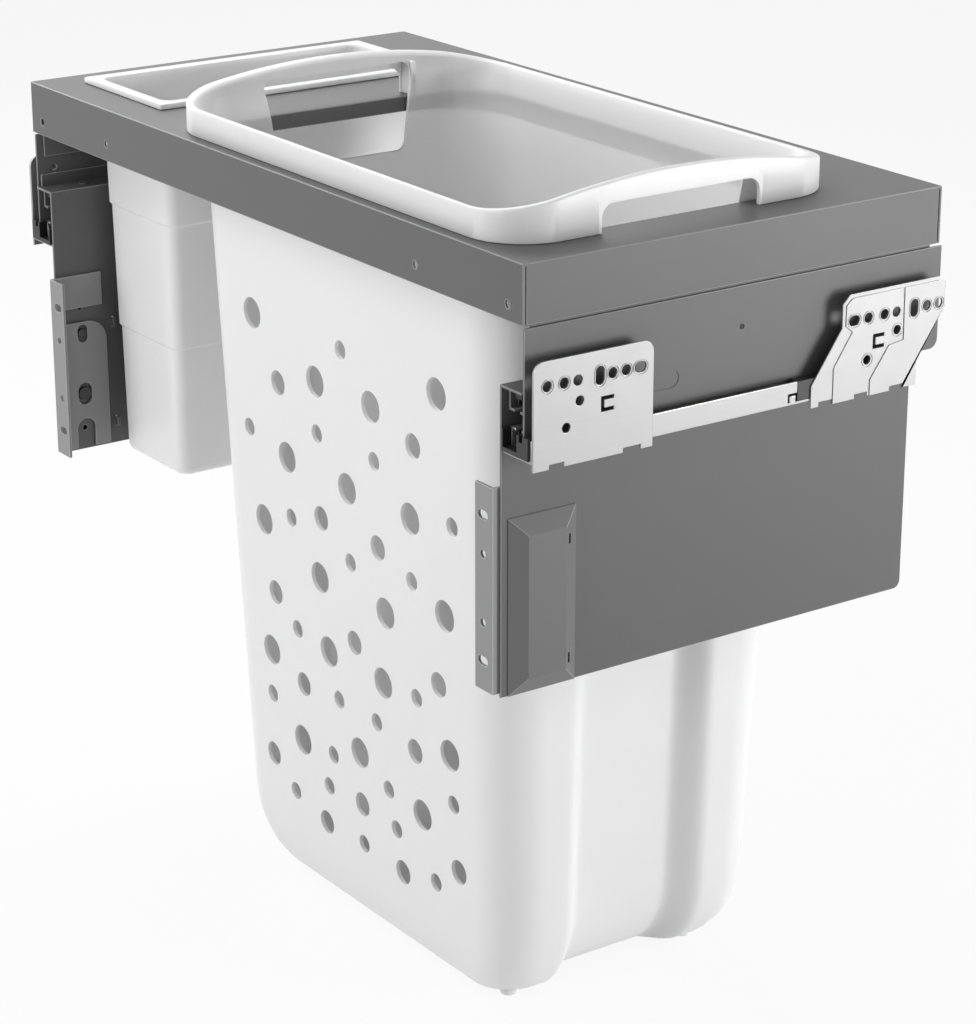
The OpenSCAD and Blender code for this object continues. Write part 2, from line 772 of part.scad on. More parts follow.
// Tapered tub with rounded corners and a rounded floor, drawn in by an inset all round
module tub(hx, hy, r, depth, inset, top) {
    fall = draft * depth;
    low_r = foot_r - inset;
    hull() for (sx = [-1, 1], sy = [-1, 1]) {
        translate([sx * (hx - r), sy * (hy - r), top - 1]) cylinder(r = r - inset, h = 1, $fn = HULL_FN);
        translate([sx * (hx - fall - foot_r), sy * (hy - fall - foot_r), -depth + foot_r])
            sphere(low_r, $fn = HULL_FN);
    }
}

// Panel pressed into each end of the tub between two filleted columns
module end_recess(grow) {
    half = recess_hw + grow;
    deep_half = half - recess_fillet;
    top = recess_top + grow;
    fall = draft * basket_h;
    face = body_hl - recess_depth - grow;
    wide = face + recess_depth + 2;
    outside = body_hl + end_overhang;
    floor_z = -basket_h - 20;
    hull() {
        block([wide, -half, top - 1], [outside, half, top]);
        block([face - 2, -deep_half, top - 24], [outside, deep_half, top - 23]);
        block([wide - fall, -half, floor_z], [outside, half, floor_z + 1]);
        block([face - fall, -deep_half, floor_z], [outside, deep_half, floor_z + 1]);
    }
}

// Rim surface: a long arch from front to rear, highest over the handles
module under_arch(drop) {
    translate([-rim_l, 0, rim_peak - drop - arch_r]) rotate([0, 90, 0])
        cylinder(r = arch_r, h = 2 * rim_l, $fn = 360);
}

module rim_shell() {
    t = basket_t;
    wall = t + 0.2;
    difference() {
        intersection() {
            rounded_block(rim_l / 2, rim_w / 2, rim_r, seat_gap, rim_peak + 1);
            under_arch(0);
        }
        intersection() {
            difference() {
                rounded_block(rim_l / 2 - t, rim_w / 2 - t, rim_r - t, -1, rim_peak);
                rounded_block(body_hl, body_hw, body_r, -2, rim_peak + 1);
            }
            under_arch(t);
        }
        rounded_block(body_hl - wall, body_hw - wall, body_r - wall, -5, rim_peak + 5);
    }
}

// Window in the end wall under each handle, in depth and height
module window_outline() {
    corner = 4;
    polygon([[-handle_hw + corner, window_top], [-handle_hw, window_top - corner],
        [-window_low_hw, window_z + corner], [-window_low_hw + corner, window_z],
        [window_low_hw - corner, window_z], [window_low_hw, window_z + corner],
        [handle_hw, window_top - corner], [handle_hw - corner, window_top]]);
}

// Opening through the skirt under each handle, and on through the end wall
module handle_cut() {
    r = handle_r;
    x0 = body_hl + 1;
    x1 = rim_l / 2 + 1;
    block([x0, -handle_hw + r, -1], [x1, handle_hw - r, grip_z]);
    block([x0, -handle_hw, -1], [x1, handle_hw, grip_z - r]);
    for (s = [-1, 1]) hole_x(x0, x1, s * (handle_hw - r), grip_z - r, 2 * r);
    facing_x(body_hl - 20, 22) window_outline();
}

module handle_cheeks() {
    for (s = [-1, 1]) translate([0, s * (handle_hw + basket_t / 2), 0])
        block([body_hl - 1, -basket_t / 2, seat_gap], [rim_l / 2 - 1, basket_t / 2, grip_z + 2]);
}

module wall_holes() {
    for (group = [[large_holes, large_hole_d], [medium_holes, medium_hole_d],
            [small_holes, small_hole_d]])
        for (place = group[0], sx = place[0] == 0 ? [1] : [-1, 1])
            translate([sx * place[0], rim_w, -place[1]]) rotate([90, 0, 0])
                cylinder(d = group[1], h = 2 * rim_w, $fn = 24);
}

module basket_feet() {
    fall = draft * basket_h;
    for (sx = [-1, 1], sy = [-1, 1])
        translate([sx * (body_hl - fall - foot_r - foot_inset), sy * (body_hw - fall - foot_r), -basket_h])
            cylinder(r = foot_pad_r, h = foot_h + 1);
}

module laundry_basket() {
    depth = basket_h - foot_h;
    color(basket_white) placed() at_basket() difference() {
        union() {
            difference() {
                union() {
                    intersection() {
                        tub(body_hl, body_hw, body_r, depth, 0, rim_peak + 1);
                        under_arch(0);
                    }
                    basket_feet();
                }
                for (side = [LEFT, RIGHT]) on_side(side) end_recess(0);
                difference() {
                    tub(body_hl, body_hw, body_r, depth, basket_t, rim_peak + 6);
                    for (side = [LEFT, RIGHT]) on_side(side) end_recess(basket_t);
                }
            }
            rim_shell();
            for (side = [LEFT, RIGHT]) on_side(side) handle_cheeks();
        }
        for (side = [LEFT, RIGHT]) on_side(side) handle_cut();
        wall_holes();
    }
}

// Small bin, drawn about the middle of its rim: three tapered tiers, each stepped in
module bin_tier(z0, z1, step, inset) {
    in0 = step * bin_step + bin_draft * z0 + inset;
    in1 = step * bin_step + bin_draft * z1 + inset;
    r = bin_r - inset;
    hull() for (sx = [-1, 1], sy = [-1, 1]) {
        translate([sx * (bin_hw - in0 - r), sy * (bin_hl - in0 - r), -z0])
            cylinder(r = r, h = 0.1, $fn = HULL_FN);
        translate([sx * (bin_hw - in1 - r), sy * (bin_hl - in1 - r), -z1])
            cylinder(r = r, h = 0.1, $fn = HULL_FN);
    }
}

module bin_body(inset, top, bottom) {
    levels = [top, bin_steps_at[0], bin_steps_at[1], bottom];
    for (i = [0 : 2]) bin_tier(levels[i], levels[i + 1], i, inset);
}

module small_bin() {
    color(basket_white) placed() at_bin() difference() {
        union() {
            bin_body(0, -seat_gap - 1, bin_h);
            rounded_block(bin_w / 2, bin_l / 2, bin_rim_r, seat_gap, seat_gap + bin_rim_t);
        }
        bin_body(bin_t, -seat_gap - bin_rim_t - 1, bin_h - bin_t);
    }
}

top_frame();
side_sheet(LEFT);  // side_sheet_left
side_sheet(RIGHT);  // side_sheet_right
lower_panel(LEFT);  // lower_panel_left
lower_panel(RIGHT);  // lower_panel_right
drawer_rail(LEFT);  // drawer_rail_left
drawer_rail(RIGHT);  // drawer_rail_right
rail_rivets();
middle_rail(LEFT);  // middle_rail_left
middle_rail(RIGHT);  // middle_rail_right
cabinet_rail(LEFT);  // cabinet_rail_left
cabinet_rail(RIGHT);  // cabinet_rail_right
support_angle(LEFT);  // support_angle_left
support_angle(RIGHT);  // support_angle_right
front_plate(LEFT);  // front_plate_left
front_plate(RIGHT);  // front_plate_right
rear_plate(LEFT);  // rear_plate_left
rear_plate(RIGHT);  // rear_plate_right
rail_cap(LEFT);  // rail_cap_left
rail_cap(RIGHT);  // rail_cap_right
rail_buffer(LEFT);  // rail_buffer_left
rail_buffer(RIGHT);  // rail_buffer_right
rail_bumpers();
cage(LEFT, lower_cage_y, middle_bottom);  // lower_cage_left
cage(RIGHT, lower_cage_y, middle_bottom);  // lower_cage_right
cage(LEFT, upper_cage_y, upper_race);  // upper_cage_left
cage(RIGHT, upper_cage_y, upper_race);  // upper_cage_right
rollers(LEFT, lower_cage_y, middle_bottom);  // lower_rollers_left
rollers(RIGHT, lower_cage_y, middle_bottom);  // lower_rollers_right
rollers(LEFT, upper_cage_y, upper_race);  // upper_rollers_left
rollers(RIGHT, upper_cage_y, upper_race);  // upper_rollers_right
door_bracket(LEFT);  // door_bracket_left
door_bracket(RIGHT);  // door_bracket_right
adjuster_screws();
bracket_cover(LEFT);  // bracket_cover_left
bracket_cover(RIGHT);  // bracket_cover_right
laundry_basket();
small_bin();
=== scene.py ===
"""Looks of a pull-out laundry basket: powder-coated frame, zinc-plated runners and moulded white tubs.

Every length of a piece is in millimetres, measured from the middle of the frame (X), from its front
face (Y) and from its top (Z). Its mesh is then placed in the row frame in metres. The studio's lengths
are in metres, in the row frame.
"""

import json
import logging
import math
from dataclasses import dataclass, field
from enum import Enum

import bmesh
import bpy
from mathutils import Matrix, Vector


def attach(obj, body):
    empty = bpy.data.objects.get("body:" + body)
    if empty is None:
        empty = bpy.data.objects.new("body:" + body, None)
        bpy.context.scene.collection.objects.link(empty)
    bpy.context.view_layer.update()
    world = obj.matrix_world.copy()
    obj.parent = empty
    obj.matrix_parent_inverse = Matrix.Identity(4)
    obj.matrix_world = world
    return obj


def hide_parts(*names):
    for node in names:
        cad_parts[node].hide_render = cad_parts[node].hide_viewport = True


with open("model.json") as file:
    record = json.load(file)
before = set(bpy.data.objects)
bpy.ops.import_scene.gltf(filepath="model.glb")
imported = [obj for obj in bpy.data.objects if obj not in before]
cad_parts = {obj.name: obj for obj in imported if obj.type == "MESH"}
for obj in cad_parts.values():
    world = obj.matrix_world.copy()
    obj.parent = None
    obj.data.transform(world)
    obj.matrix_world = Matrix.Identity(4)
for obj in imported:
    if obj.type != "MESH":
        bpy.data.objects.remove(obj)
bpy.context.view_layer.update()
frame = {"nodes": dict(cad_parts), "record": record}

log = logging.getLogger("laundry_basket")
MM = 0.001
# From the pieces' millimetres to the row frame's metres.
ROW = Matrix.Translation((-0.284, -0.0455, 0.0655)) @ Matrix.Diagonal((MM, MM, MM, 1.0))
# Angle from which an edge is shaded as a corner, on a sheet piece and on a cut tub.
SHARP = math.radians(25)
TUB_SHARP = math.radians(42)
# Area from which a face of five corners or more is shaded flat.
FLAT_FROM = 60 * MM ** 2
# Angle from which a corner of a sheet piece is rounded, and how many roundings wide its faces must be.
BEND = math.radians(32)
ROOM = 2.2
# How near two points of a solid's mesh are one, and the bend up to which two faces are one.
WELD = 0.002 * MM
PLANE = math.radians(0.3)
# How deep light goes into a plastic that lets some through.
SEEP_DEPTH = 6 * MM
# The direction along which edges and faces are numbered: a slanting one, so that no two are level.
COUNT_ALONG = Vector((1.0, 31.4159, 971.8282))
# A Mix node's colour sockets, by number, because its other types' sockets have the same names.
MIX_DARK, MIX_LIGHT, MIX_COLOUR = 6, 7, 2
WHITE = (1.0, 1.0, 1.0, 1.0)


class Slot(Enum):
    """Material slots of the record."""

    FRAME = "frame_paint"
    RAIL = "rail_steel"
    DARK = "dark_steel"
    ROLLER = "roller_steel"
    BLACK = "black_plastic"
    CAGE = "cage_plastic"
    BRACKET = "bracket_steel"
    COVER = "cover_plastic"
    TUB = "basket_plastic"


class Socket:
    """One output of a shader node, with arithmetic that adds Math nodes."""

    def __init__(self, sheet: "Sheet", output: bpy.types.NodeSocket) -> None:
        """Keeps the node sheet and the output that this value comes from."""
        self.sheet = sheet
        self.output = output

    def _math(self, operation: str, first: "Socket | float", second: "Socket | float") -> "Socket":
        """Adds one Math node.

        Args:
            operation: the Math node's operation.
            first: its first operand.
            second: its second operand.

        Returns:
            The node's value.
        """
        return self.sheet.node("ShaderNodeMath", {"operation": operation}, {0: first, 1: second})

    def __add__(self, other: "Socket | float") -> "Socket":
        """Sum with a value or number."""
        return self._math("ADD", self, other)

    def __radd__(self, other: float) -> "Socket":
        """Sum with a number on the left."""
        return self._math("ADD", other, self)

    def __sub__(self, other: "Socket | float") -> "Socket":
        """Difference from a value or number."""
        return self._math("SUBTRACT", self, other)

    def __rsub__(self, other: float) -> "Socket":
        """A number less this value."""
        return self._math("SUBTRACT", other, self)

    def __mul__(self, other: "Socket | float") -> "Socket":
        """Product with a value or number."""
        return self._math("MULTIPLY", self, other)

    def __rmul__(self, other: float) -> "Socket":
        """Product with a number on the left."""
        return self._math("MULTIPLY", other, self)


class Sheet:
    """The node sheet of one material, or of the world."""

    def __init__(self, owner: bpy.types.Material | bpy.types.World) -> None:
        """Empties the node sheet of its owner.

        Args:
            owner: the material or world.
        """
        self.owner = owner
        owner.use_nodes = True
        self.tree = owner.node_tree
        self.tree.nodes.clear()

    @classmethod
    def new(cls, name: str) -> "Sheet":
        """Starts an empty material of that name."""
        return cls(bpy.data.materials.new(name))

    def node(self, kind: str, settings: dict | None = None, inputs: dict | None = None,
             output: int | str = 0) -> Socket:
        """Adds a node of any kind.

        Args:
            kind: the node's type name.
            settings: its own settings, set before its sockets.
            inputs: socket name or number, to a value or a link.
            output: which output to hand back.

        Returns:
            The chosen output.
        """
        made = self.tree.nodes.new(kind)
        for key, value in (settings or {}).items():
            setattr(made, key, value)
        for key, value in (inputs or {}).items():
            if isinstance(value, Socket):
                self.tree.links.new(value.output, made.inputs[key])
            else:
                made.inputs[key].default_value = value
        return Socket(self, made.outputs[output])

    def noise(self, size_mm: float, detail: float,
              stretch: tuple[float, float, float] = (1.0, 1.0, 1.0)) -> Socket:
        """Noise on the object's own coordinates.

        Args:
            size_mm: size of one lump.
            detail: octaves of finer noise.
            stretch: how much finer the pattern is along each axis.

        Returns:
            The noise, from 0 to 1.
        """
        place = self.node("ShaderNodeTexCoord", output="Object")
        scaled = self.node("ShaderNodeMapping", inputs={"Vector": place, "Scale": stretch})
        return self.node("ShaderNodeTexNoise", None, {
            "Vector": scaled, "Scale": 1.0 / (size_mm * MM), "Detail": detail})

    def tint(self, dark: tuple[float, float, float], light: tuple[float, float, float],
             amount: Socket) -> Socket:
        """Colour between two tones.

        Args:
            dark: the colour at 0.
            light: the colour at 1.
            amount: the place between them.

        Returns:
            The mixed colour.
        """
        return self.node("ShaderNodeMix", {"data_type": "RGBA"}, {
            "Factor": amount, MIX_DARK: (*dark, 1.0), MIX_LIGHT: (*light, 1.0)}, output=MIX_COLOUR)

    def bump(self, height: Socket, depth_mm: float, under: Socket | None = None) -> Socket:
        """Surface relief.

        Args:
            height: relief from 0 to 1.
            depth_mm: height of the relief.
            under: a coarser relief below it.

        Returns:
            The bent normal.
        """
        inputs = {"Height": height, "Distance": depth_mm * MM, "Strength": 1.0}
        if under is not None:
            inputs["Normal"] = under
        return self.node("ShaderNodeBump", None, inputs)

    def finish(self, shader: Socket, kind: str = "ShaderNodeOutputMaterial") -> bpy.types.Material:
        """Ends the sheet in its shader.

        Args:
            shader: the surface or background shader.
            kind: the output node's type name.

        Returns:
            The finished material or world.
        """
        out = self.tree.nodes.new(kind)
        self.tree.links.new(shader.output, out.inputs["Surface"])
        return self.owner


@dataclass(frozen=True)
class PowderCoat:
    """Fine-textured powder coat on folded sheet."""

    name: str
    grey: float
    rough: float = 0.42
    gloss: float = 0.35
    darkest: float = 0.94
    lightest: float = 1.06
    blue_cast: float = 1.01

    def material(self) -> bpy.types.Material:
        """Orange-peel relief with a faint drift of tone.

        Returns:
            The material.
        """
        sheet = Sheet.new(self.name)
        drift = sheet.noise(size_mm=60.0, detail=3.0)
        grain = sheet.noise(size_mm=0.7, detail=1.0)
        low, high = self.grey * self.darkest, self.grey * self.lightest
        colour = sheet.tint((low, low, low * self.blue_cast), (high, high, high * self.blue_cast),
                            drift * 0.7 + grain * 0.3)
        waves = sheet.bump(sheet.noise(size_mm=7.0, detail=1.0), depth_mm=0.015)
        peel = sheet.bump(sheet.noise(size_mm=1.1, detail=2.0), depth_mm=0.012, under=waves)
        rough = drift * 0.08 + (self.rough - 0.04)
        return sheet.finish(sheet.node("ShaderNodeBsdfPrincipled", None, {
            "Base Color": colour, "Roughness": rough, "Normal": peel,
            "Specular IOR Level": self.gloss}))


@dataclass(frozen=True)
class ZincPlate:
    """Bright zinc-plated sheet, drawn lengthwise."""

    name: str
    grey: float
    rough: float
    grain: tuple[float, float, float] = (60.0, 1.0, 30.0)
    metal: float = 0.82
    darkest: float = 0.9
    lightest: float = 1.08

    def material(self) -> bpy.types.Material:
        """Fine drawing lines with cloudy brightness.

        Returns:
            The material.
        """
        sheet = Sheet.new(self.name)
        lines = sheet.noise(size_mm=30.0, detail=3.0, stretch=self.grain)
        cloud = sheet.noise(size_mm=14.0, detail=3.0)
        low, high = self.grey * self.darkest, min(self.grey * self.lightest, 1.0)
        colour = sheet.tint((low, low, low), (high, high, high), lines * 0.55 + cloud * 0.45)
        rough = cloud * 0.12 + lines * 0.08 + (self.rough - 0.1)
        return sheet.finish(sheet.node("ShaderNodeBsdfPrincipled", None, {
            "Base Color": colour, "Roughness": rough, "Metallic": self.metal,
            "Normal": sheet.bump(lines, depth_mm=0.004)}))


@dataclass(frozen=True)
class Moulding:
    """Injection-moulded plastic."""

    name: str
    colour: tuple[float, float, float]
    rough: float
    relief_mm: float = 0.006
    seep: float = 0.0
    darkest: float = 0.975
    lightest: float = 1.015

    def material(self) -> bpy.types.Material:
        """Faint spark texture, slow waves of the mould and a little tone drift.

        Returns:
            The material.
        """
        sheet = Sheet.new(self.name)
        drift = sheet.noise(size_mm=90.0, detail=2.0)
        spark = sheet.noise(size_mm=0.9, detail=2.0)
        dark = tuple(c * self.darkest for c in self.colour)
        light = tuple(min(c * self.lightest, 1.0) for c in self.colour)
        waves = sheet.bump(sheet.noise(size_mm=45.0, detail=1.0), depth_mm=0.05)
        rough = spark * 0.06 + drift * 0.05 + (self.rough - 0.05)
        return sheet.finish(sheet.node("ShaderNodeBsdfPrincipled", None, {
            "Base Color": sheet.tint(dark, light, drift * 0.8 + spark * 0.2), "Roughness": rough,
            "Subsurface Weight": self.seep, "Subsurface Scale": SEEP_DEPTH,
            "Subsurface Radius": (1.0, 1.0, 1.0), "Normal": sheet.bump(spark, self.relief_mm, waves)}))


FINISHES: dict[Slot, PowderCoat | ZincPlate | Moulding] = {
    Slot.FRAME: PowderCoat("powder_coat_grey", 0.12),
    Slot.RAIL: ZincPlate("zinc_plated_sheet", 0.33, 0.5),
    # Near-black steel of the middle rails and adjuster screws: its tone paints the deep shade inside the
    # runners.
    Slot.DARK: ZincPlate("near_black_steel_painted_shade", 0.075, 0.5),
    Slot.ROLLER: ZincPlate("polished_roller_steel", 0.8, 0.22, (1.0, 40.0, 40.0)),
    Slot.BLACK: Moulding("black_guide_plastic", (0.012, 0.012, 0.012), 0.45),
    Slot.CAGE: Moulding("natural_cage_plastic", (0.62, 0.62, 0.6), 0.4),
    Slot.BRACKET: PowderCoat("powder_coat_light", 0.28),
    Slot.COVER: Moulding("cover_grey_plastic", (0.14, 0.14, 0.142), 0.38, 0.01),
    Slot.TUB: Moulding("white_tub_plastic", (0.86, 0.86, 0.86), 0.36, 0.003, seep=0.4),
}


# Lighter copies of the finishes, put on the rounded edges: they paint highlights along the folds and rims.
EDGES: dict[Slot, PowderCoat | ZincPlate | Moulding] = {
    Slot.FRAME: PowderCoat("powder_coat_painted_highlight", 0.28, 0.3),
    Slot.RAIL: ZincPlate("zinc_plated_painted_highlight", 0.5, 0.32),
    Slot.BRACKET: PowderCoat("powder_coat_light_painted_highlight", 0.45, 0.3),
    Slot.COVER: Moulding("cover_grey_painted_highlight", (0.24, 0.24, 0.24), 0.3, 0.01),
}


def soften(bm: bmesh.types.BMesh, sharp: float = SHARP) -> None:
    """Shades a mesh smooth but for its corner edges, its material borders and its large flat faces.

    Args:
        bm: the mesh.
        sharp: the angle from which an edge is a corner.
    """
    for edge in bm.edges:
        edge.smooth = (len(edge.link_faces) == 2 and edge.calc_face_angle(0.0) < sharp
                       and edge.link_faces[0].material_index == edge.link_faces[1].material_index)
    for face in bm.faces:
        face.smooth = len(face.verts) < 5 or face.calc_area() < FLAT_FROM


def settle(bm: bmesh.types.BMesh) -> None:
    """Numbers a mesh's edges and faces by their place, because extruding makes them in a chance order.

    Args:
        bm: the mesh.
    """
    bm.edges.sort(key=lambda edge: (edge.verts[0].co + edge.verts[1].co).dot(COUNT_ALONG))
    bm.faces.sort(key=lambda face: face.calc_center_median().dot(COUNT_ALONG))


class Workshop:
    """Makes, places and finishes pieces."""

    def __init__(self) -> None:
        """Reads which body and slot each node of the record has, and mixes the finishes."""
        record = frame["record"]
        self.body = {node: body for body, nodes in record["behaviour"]["bodies"].items() for node in nodes}
        self.slot = {part["node"]: Slot(part["material_slot"]) for part in record["subparts"]}
        self.paint = {slot: finish.material() for slot, finish in FINISHES.items()}
        # The lighter copies for the rounded edges paint highlights on them.
        self.edge = {slot: finish.material() for slot, finish in EDGES.items()}

    def dress(self, node: str) -> None:
        """Gives a solid that stays as it is its finish.

        Args:
            node: the solid's node.
        """
        mesh = frame["nodes"][node].data
        mesh.materials.clear()
        mesh.materials.append(self.paint[self.slot[node]])
        log.info("dressed %s", node)

    def piece(self, name: str, bm: bmesh.types.BMesh, node: str, placed: bool = False) -> bpy.types.Object:
        """Turns a bmesh into the piece that stands for a node.

        Args:
            name: the piece's name.
            bm: its mesh, which is freed.
            node: the node that it replaces.
            placed: whether the mesh is in the row frame already.

        Returns:
            The finished object.
        """
        if not placed:
            bmesh.ops.transform(bm, matrix=ROW, verts=bm.verts)
        soften(bm)
        mesh = bpy.data.meshes.new(name)
        bm.to_mesh(mesh)
        bm.free()
        obj = bpy.data.objects.new(name, mesh)
        bpy.context.scene.collection.objects.link(obj)
        slot = self.slot[node]
        mesh.materials.append(self.paint[slot])
        # The second slot holds the rounded edges' lighter material, a painted highlight.
        mesh.materials.append(self.edge.get(slot, self.paint[slot]))
        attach(obj, self.body[node])
        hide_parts(node)
        log.info("made %s: %d faces", name, len(mesh.polygons))
        return obj


def edges_at(verts: list[bmesh.types.BMVert]) -> list[bmesh.types.BMEdge]:
    """Every edge that meets some vertices, once and in the same order on every run."""
    return list(dict.fromkeys(edge for vert in verts for edge in vert.link_edges))


def face_reach(edge: bmesh.types.BMEdge) -> float:
    """How far the narrower of an edge's two faces reaches away from it.

    Args:
        edge: an edge between two faces.

    Returns:
        The distance, in the mesh's own unit.
    """
    start = edge.verts[0].co
    along = (edge.verts[1].co - start).normalized()
    return min(max((v.co - start).cross(along).length for v in face.verts) for face in edge.link_faces)


@dataclass
class FoldedSheet:
    """A pressed or moulded piece whose solid gets rounded edges, with a painted highlight on them."""

    node: str
    edge: float = 0.35
    steps: int = 2

    def _press(self, bm: bmesh.types.BMesh) -> None:
        """Adds what is pressed into the sheet before its edges are rounded: nothing here."""

    def build(self, shop: Workshop) -> bpy.types.Object:
        """Merges a copy of the solid's mesh and rounds every corner edge that has room for it.

        Args:
            shop: where it is finished.

        Returns:
            The piece.
        """
        bm = bmesh.new()
        bm.from_mesh(frame["nodes"][self.node].data)
        bmesh.ops.remove_doubles(bm, verts=bm.verts, dist=WELD)
        self._press(bm)
        bmesh.ops.dissolve_limit(bm, angle_limit=PLANE, verts=bm.verts, edges=bm.edges)
        for face in bm.faces:
            face.material_index = 0
        room = ROOM * self.edge * MM
        corners = [e for e in bm.edges if len(e.link_faces) == 2 and e.is_convex
                   and e.calc_face_angle(0.0) > BEND and face_reach(e) > room]
        rounded = bmesh.ops.bevel(bm, geom=corners, offset=self.edge * MM, offset_type="OFFSET",
                                  segments=self.steps, profile=0.5, affect="EDGES",
                                  clamp_overlap=False, material=-1)
        # The rounded faces take the second, lighter material: a painted highlight.
        for face in rounded["faces"]:
            face.material_index = 1
        return shop.piece(self.node + "_dressed", bm, self.node, placed=True)


@dataclass
class MountingPlate(FoldedSheet):
    """A zinc-plated mounting plate, with a ring pressed round each screw hole."""

    side: int = 1
    holes: tuple[tuple[float, float, float, float], ...] = ()
    face_x: float = 284.0
    ring: float = 3.7
    groove: float = 0.45
    ring_steps: int = 36

    def _ring(self, bm: bmesh.types.BMesh, y: float, z: float, long_y: float, long_z: float) -> None:
        """Adds one square-edged ring that straddles the plate's outer face.

        Args:
            bm: the mesh it goes into.
            y: place of its middle.
            z: height of its middle.
            long_y: how far it is drawn out along the row, each way.
            long_z: how far it is drawn out upwards, each way.
        """
        made = bmesh.ops.create_grid(bm, x_segments=1, y_segments=1, size=self.groove)["verts"]
        bmesh.ops.delete(bm, geom=made[0].link_faces[:], context="FACES_ONLY")
        bmesh.ops.scale(bm, vec=(1.0, 0.5, 1.0), verts=made)
        bmesh.ops.translate(bm, vec=(0.0, self.ring + self.groove / 2, 0.0), verts=made)
        bmesh.ops.spin(bm, geom=made + edges_at(made), cent=(0, 0, 0), axis=(1, 0, 0), angle=2 * math.pi,
                       steps=self.ring_steps, use_merge=True)
        # The rings made before this one lie out at the plate's face already.
        ring = [v for v in bm.verts if abs(v.co.x) < self.face_x / 2]
        for v in ring:
            v.co.y += math.copysign(long_y, v.co.y)
            v.co.z += math.copysign(long_z, v.co.z)
        bmesh.ops.translate(bm, vec=(self.side * self.face_x, y, z), verts=ring)

    def _press(self, bm: bmesh.types.BMesh) -> None:
        """Cuts the rings into the plate's outer face.

        Args:
            bm: the plate's mesh.
        """
        rings = bmesh.new()
        for place in self.holes:
            self._ring(rings, *place)
        bmesh.ops.recalc_face_normals(rings, faces=rings.faces)
        bmesh.ops.transform(rings, matrix=ROW, verts=rings.verts)
        settle(rings)
        mesh = bpy.data.meshes.new("blank")
        bm.to_mesh(mesh)
        blank = bpy.data.objects.new("blank", mesh)
        bpy.context.scene.collection.objects.link(blank)
        cut_out(blank, rings)
        bm.clear()
        bm.from_mesh(blank.data)
        mesh = blank.data
        bpy.data.objects.remove(blank)
        bpy.data.meshes.remove(mesh)


def rounded_ring(bm: bmesh.types.BMesh, half_x: float, half_y: float, radius: float,
                 pitch: float, corner_steps: int) -> list[bmesh.types.BMEdge]:
    """Draws a rectangle with round corners as a ring of edges.

    Args:
        bm: the empty mesh it goes into.
        half_x: half its length.
        half_y: half its width.
        radius: corner radius.
        pitch: longest edge on the straight sides.
        corner_steps: points round each corner.

    Returns:
        The ring's edges.
    """
    half_turn = math.pi / (4 * corner_steps)
    verts = bmesh.ops.create_circle(bm, cap_ends=False, segments=4 * corner_steps,
                                    radius=radius / math.cos(half_turn))["verts"]
    bmesh.ops.rotate(bm, cent=(0, 0, 0), matrix=Matrix.Rotation(half_turn, 3, "Z"), verts=verts)
    for sx in (-1, 1):
        for sy in (-1, 1):
            quarter = [v for v in verts if v.co.x * sx > 0 and v.co.y * sy > 0]
            bmesh.ops.translate(bm, vec=(sx * (half_x - radius), sy * (half_y - radius), 0.0),
                                verts=quarter)
    for edge in [e for e in bm.edges if e.calc_length() > pitch * 1.5]:
        bmesh.ops.subdivide_edges(bm, edges=[edge], cuts=int(edge.calc_length() / pitch))
    return bm.edges[:]


@dataclass(frozen=True)
class Level:
    """One ring of a tub: its half sizes, its height, and how much of the rim's arch it takes."""

    half_x: float
    half_y: float
    z: float
    arch: float = 0.0


def loft(bm: bmesh.types.BMesh, ring: list[bmesh.types.BMEdge], base: tuple[float, float],
         levels: list[Level]) -> list[list[bmesh.types.BMVert]]:
    """Carries a ring through levels by extruding it, and closes both ends.

    Args:
        bm: the mesh.
        ring: the first ring's edges, at height 0.
        base: the first ring's half sizes.
        levels: where each ring goes, the first ring included.

    Returns:
        The vertices of every ring, in the levels' order.
    """
    rings = []
    edges = ring
    at = Level(base[0], base[1], 0.0)
    for index, level in enumerate(levels):
        if index:
            made = bmesh.ops.extrude_edge_only(bm, edges=edges)["geom"]
            verts = [g for g in made if isinstance(g, bmesh.types.BMVert)]
            new = set(verts)
            edges = [e for e in edges_at(verts) if e.verts[0] in new and e.verts[1] in new]
        else:
            verts = list(dict.fromkeys(v for e in edges for v in e.verts))
        bmesh.ops.scale(bm, vec=(level.half_x / at.half_x, level.half_y / at.half_y, 1.0), verts=verts)
        bmesh.ops.translate(bm, vec=(0.0, 0.0, level.z - at.z), verts=verts)
        rings.append(verts)
        at = level
    bmesh.ops.holes_fill(bm, edges=[e for e in bm.edges if e.is_boundary], sides=0)
    settle(bm)
    return rings


def quarter_turn(steps: int) -> list[float]:
    """Angles that divide a quarter turn into equal steps, both ends included."""
    return [math.radians(90 * step / steps) for step in range(steps + 1)]


def smooth(value: float, start: float, end: float) -> float:
    """Eased step.

    Args:
        value: where it is read.
        start: where it is 0.
        end: where it is 1.

    Returns:
        The step, from 0 to 1.
    """
    t = min(max((value - start) / (end - start), 0.0), 1.0)
    return t * t * (3.0 - 2.0 * t)


def cut_out(obj: bpy.types.Object, bm: bmesh.types.BMesh) -> None:
    """Cuts a mesh out of a piece and applies the cut.

    Args:
        obj: the piece.
        bm: the cutter, in the row frame, which is freed.
    """
    mesh = bpy.data.meshes.new("cutter")
    bm.to_mesh(mesh)
    bm.free()
    cutter = bpy.data.objects.new("cutter", mesh)
    bpy.context.scene.collection.objects.link(cutter)
    cut = obj.modifiers.new("cut", "BOOLEAN")
    cut.operation = "DIFFERENCE"
    cut.solver = "EXACT"
    cut.object = cutter
    bpy.context.view_layer.update()
    depsgraph = bpy.context.evaluated_depsgraph_get()
    done = bpy.data.meshes.new_from_object(obj.evaluated_get(depsgraph))
    obj.modifiers.clear()
    old = obj.data
    obj.data = done
    bpy.data.objects.remove(cutter)
    bpy.data.meshes.remove(mesh)
    bpy.data.meshes.remove(old)


